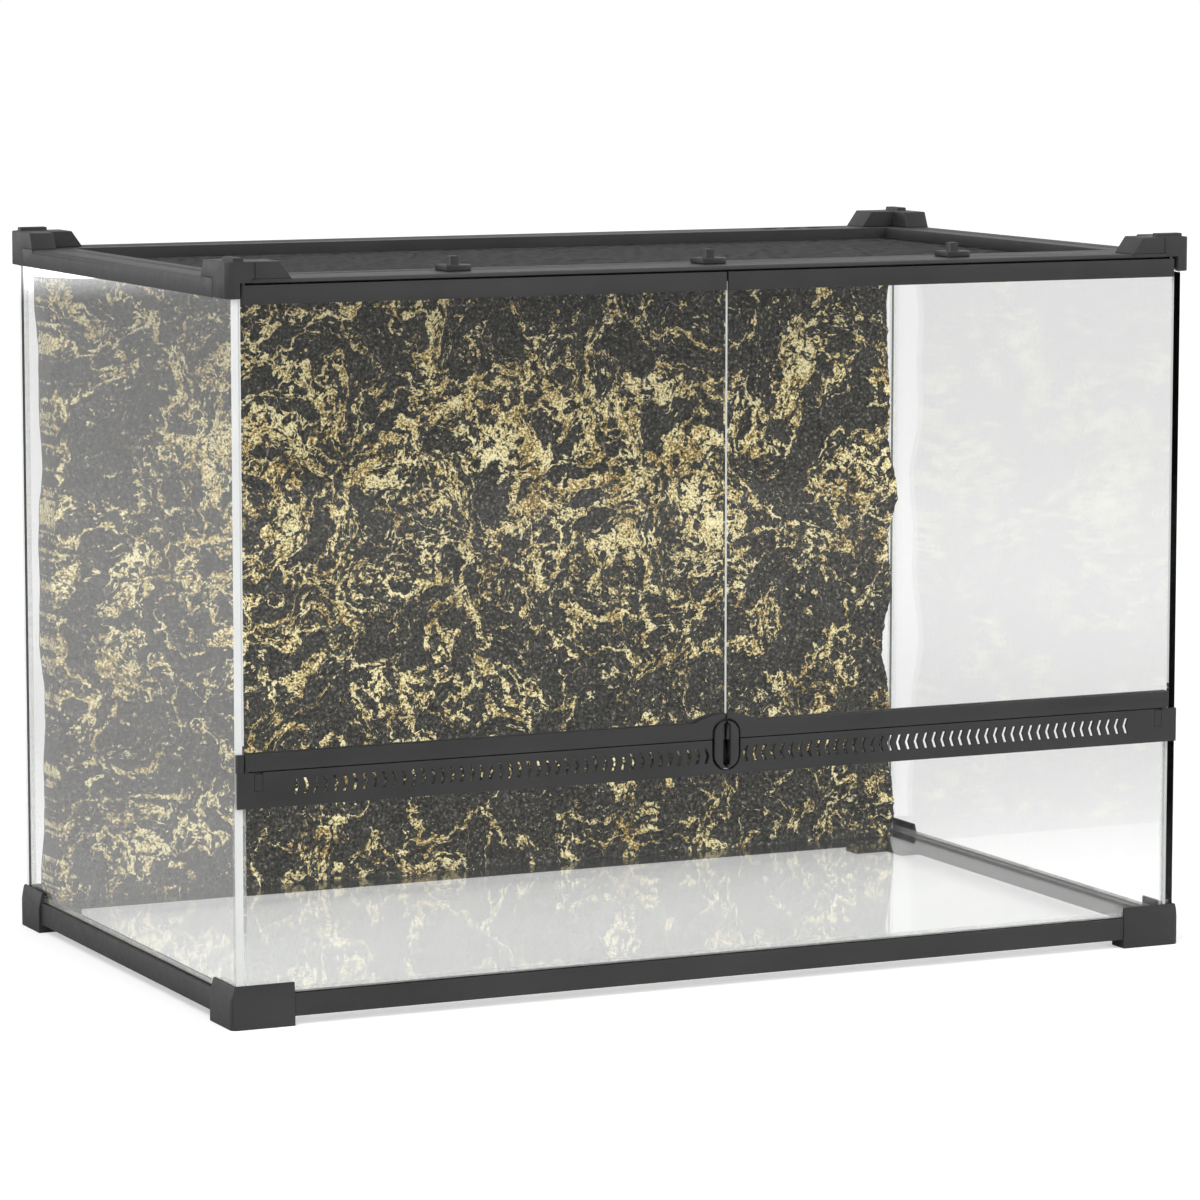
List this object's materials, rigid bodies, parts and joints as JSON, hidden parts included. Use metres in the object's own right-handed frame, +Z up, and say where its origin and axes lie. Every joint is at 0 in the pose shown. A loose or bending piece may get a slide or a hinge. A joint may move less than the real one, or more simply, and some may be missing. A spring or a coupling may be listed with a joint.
{
  "type": "front-opening glass reptile terrarium",
  "caption": "Glass terrarium with black frame, twin hinged front doors over a chevron vent strip, lift-off mesh lid, cable ports and rock relief background.",
  "frame": {"origin": "Centre of the footprint on the ground, under the feet.", "axes": "+X to the right seen from the front, +Y from the front to the rear, +Z up."},
  "size_m": [0.8, 0.474, 0.561],
  "materials": {
    "black_plastic": "moulded black plastic, satin, finely textured",
    "clear_glass": "clear float glass, polished, faint green edge",
    "silicone": "translucent silicone sealant, smooth bead",
    "steel": "plain steel, fine turned finish",
    "dark_mesh": "fine woven screen, black coated",
    "moulded_rock": "cast relief, charcoal with ochre and gold veins, matt"
  },
  "bodies": {
    "tank": {"foot_front_left": "black_plastic", "foot_front_right": "black_plastic", "foot_rear_left": "black_plastic", "foot_rear_right": "black_plastic", "base_rail_front": "black_plastic", "base_rail_rear": "black_plastic", "base_rail_left": "black_plastic", "base_rail_right": "black_plastic", "floor_glass": "clear_glass", "left_glass": "clear_glass", "right_glass": "clear_glass", "rear_glass": "clear_glass", "lower_front_glass": "clear_glass", "silicone_joints": "silicone", "vent_strip": "black_plastic", "hinge_keeper_left": "black_plastic", "hinge_keeper_right": "black_plastic", "hinge_cap_left": "black_plastic", "hinge_pins": "steel", "catch_strikers": "steel", "top_rail_front": "black_plastic", "top_rail_rear": "black_plastic", "top_rail_left": "black_plastic", "top_rail_right": "black_plastic", "corner_front_left": "black_plastic", "corner_front_right": "black_plastic", "corner_rear_left": "black_plastic", "corner_rear_right": "black_plastic", "rock_background": "moulded_rock"},
    "lid": {"lid_frame": "black_plastic", "lid_mesh": "dark_mesh"},
    "clip_left": {"lid_clip_left": "black_plastic"},
    "clip_centre": {"lid_clip_centre": "black_plastic"},
    "clip_right": {"lid_clip_right": "black_plastic"},
    "shutter_inner": {"cable_shutter_inner": "black_plastic"},
    "shutter_middle": {"cable_shutter_middle": "black_plastic"},
    "shutter_outer": {"cable_shutter_outer": "black_plastic"},
    "left_door": {"left_door_glass": "clear_glass", "left_door_top_rail": "black_plastic", "left_door_bottom_rail": "black_plastic", "left_door_pull": "black_plastic", "left_door_magnet": "steel"},
    "right_door": {"right_door_glass": "clear_glass", "right_door_top_rail": "black_plastic", "right_door_bottom_rail": "black_plastic", "right_door_pull": "black_plastic", "right_door_magnet": "steel"}
  },
  "joints": [
    {"name": "left_door_hinge", "type": "hinge", "parent": "tank", "child": "left_door", "pos_m": [-0.3859, -0.2333, 0.36], "axis": [0, 0, -1], "range_deg": [0, 100]},
    {"name": "right_door_hinge", "type": "hinge", "parent": "tank", "child": "right_door", "pos_m": [0.3859, -0.2333, 0.36], "axis": [0, 0, 1], "range_deg": [0, 100]},
    {"name": "clip_left_turn", "type": "hinge", "parent": "tank", "child": "clip_left", "pos_m": [-0.209, -0.202, 0.548], "axis": [0, 0, 1], "range_deg": [0, 90]},
    {"name": "clip_centre_turn", "type": "hinge", "parent": "tank", "child": "clip_centre", "pos_m": [0, -0.202, 0.548], "axis": [0, 0, 1], "range_deg": [0, 90]},
    {"name": "clip_right_turn", "type": "hinge", "parent": "tank", "child": "clip_right", "pos_m": [0.209, -0.202, 0.548], "axis": [0, 0, 1], "range_deg": [0, 90]},
    {"name": "lid_lift", "type": "slide", "parent": "tank", "child": "lid", "axis": [0, 0, 1], "range_m": [0, 0.06]},
    {"name": "shutter_inner_slide", "type": "slide", "parent": "tank", "child": "shutter_inner", "axis": [0, -1, 0], "range_m": [0, 0.011]},
    {"name": "shutter_middle_slide", "type": "slide", "parent": "tank", "child": "shutter_middle", "axis": [0, -1, 0], "range_m": [0, 0.011]},
    {"name": "shutter_outer_slide", "type": "slide", "parent": "tank", "child": "shutter_outer", "axis": [0, -1, 0], "range_m": [0, 0.011]}
  ]
}
